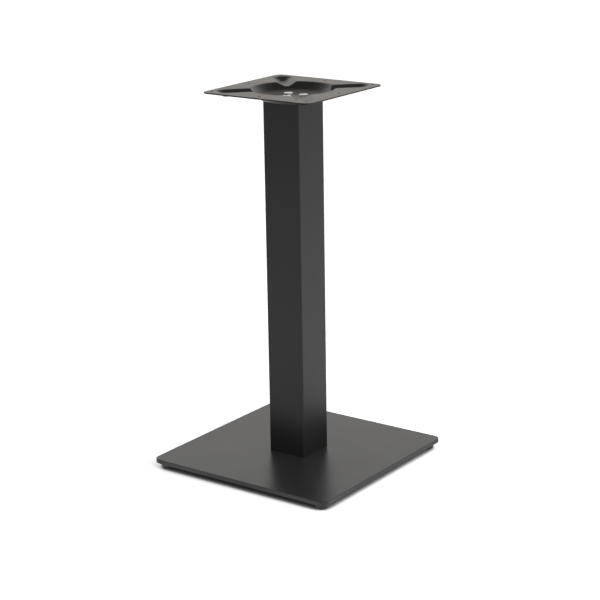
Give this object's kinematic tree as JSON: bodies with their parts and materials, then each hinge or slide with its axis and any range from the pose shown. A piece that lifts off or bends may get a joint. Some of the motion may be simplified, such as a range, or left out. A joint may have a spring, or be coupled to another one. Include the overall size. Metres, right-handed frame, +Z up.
{
  "type": "square pedestal table leg",
  "caption": "Square steel pedestal table leg: flat base plate on screw-in levelling feet, square tube column and a pressed square top plate that screws under a table top.",
  "frame": {"origin": "centre of the leg's footprint on the floor, under the column's axis", "axes": "+Z up along the column, -Y to the front, X and Y along the sides of the square base"},
  "size_m": [0.4, 0.4, 0.72],
  "materials": {
    "powder_coat": "satin fine-grained black powder coat",
    "bare_steel": "sawn and drilled mild steel",
    "zinc_steel": "bright zinc plate",
    "black_plastic": "moulded black plastic"
  },
  "bodies": {
    "leg": {"base_plate": "powder_coat", "column_tube": "powder_coat", "top_plate": "powder_coat", "column_foot_plate": "bare_steel", "column_head_plate": "bare_steel", "base_washer_1": "zinc_steel", "base_bolt_1": "zinc_steel", "base_washer_2": "zinc_steel", "base_bolt_2": "zinc_steel", "base_washer_3": "zinc_steel", "base_bolt_3": "zinc_steel", "base_washer_4": "zinc_steel", "base_bolt_4": "zinc_steel", "top_bolt_1": "zinc_steel", "top_bolt_2": "zinc_steel", "top_bolt_3": "zinc_steel"},
    "foot_screw_front_left": {"foot_stud_front_left": "zinc_steel"},
    "foot_front_left": {"foot_pad_front_left": "black_plastic"},
    "foot_screw_front_right": {"foot_stud_front_right": "zinc_steel"},
    "foot_front_right": {"foot_pad_front_right": "black_plastic"},
    "foot_screw_back_right": {"foot_stud_back_right": "zinc_steel"},
    "foot_back_right": {"foot_pad_back_right": "black_plastic"},
    "foot_screw_back_left": {"foot_stud_back_left": "zinc_steel"},
    "foot_back_left": {"foot_pad_back_left": "black_plastic"}
  },
  "joints": [
    {"name": "foot_travel_front_left", "type": "slide", "parent": "leg", "child": "foot_screw_front_left", "axis": [0, 0, -1], "range_m": [0, 0.004]},
    {"name": "foot_turn_front_left", "type": "hinge", "parent": "foot_screw_front_left", "child": "foot_front_left", "pos_m": [-0.18, -0.18, 0], "axis": [0, 0, -1], "range_deg": [0, 1150]},
    {"name": "foot_travel_front_right", "type": "slide", "parent": "leg", "child": "foot_screw_front_right", "axis": [0, 0, -1], "range_m": [0, 0.004]},
    {"name": "foot_turn_front_right", "type": "hinge", "parent": "foot_screw_front_right", "child": "foot_front_right", "pos_m": [0.18, -0.18, 0], "axis": [0, 0, -1], "range_deg": [0, 1150]},
    {"name": "foot_travel_back_right", "type": "slide", "parent": "leg", "child": "foot_screw_back_right", "axis": [0, 0, -1], "range_m": [0, 0.004]},
    {"name": "foot_turn_back_right", "type": "hinge", "parent": "foot_screw_back_right", "child": "foot_back_right", "pos_m": [0.18, 0.18, 0], "axis": [0, 0, -1], "range_deg": [0, 1150]},
    {"name": "foot_travel_back_left", "type": "slide", "parent": "leg", "child": "foot_screw_back_left", "axis": [0, 0, -1], "range_m": [0, 0.004]},
    {"name": "foot_turn_back_left", "type": "hinge", "parent": "foot_screw_back_left", "child": "foot_back_left", "pos_m": [-0.18, 0.18, 0], "axis": [0, 0, -1], "range_deg": [0, 1150]}
  ],
  "couplings": [
    {"joint": "foot_travel_front_left", "follows": "foot_turn_front_left", "m_per_rad": 0.00019894},
    {"joint": "foot_travel_front_right", "follows": "foot_turn_front_right", "m_per_rad": 0.00019894},
    {"joint": "foot_travel_back_right", "follows": "foot_turn_back_right", "m_per_rad": 0.00019894},
    {"joint": "foot_travel_back_left", "follows": "foot_turn_back_left", "m_per_rad": 0.00019894}
  ]
}
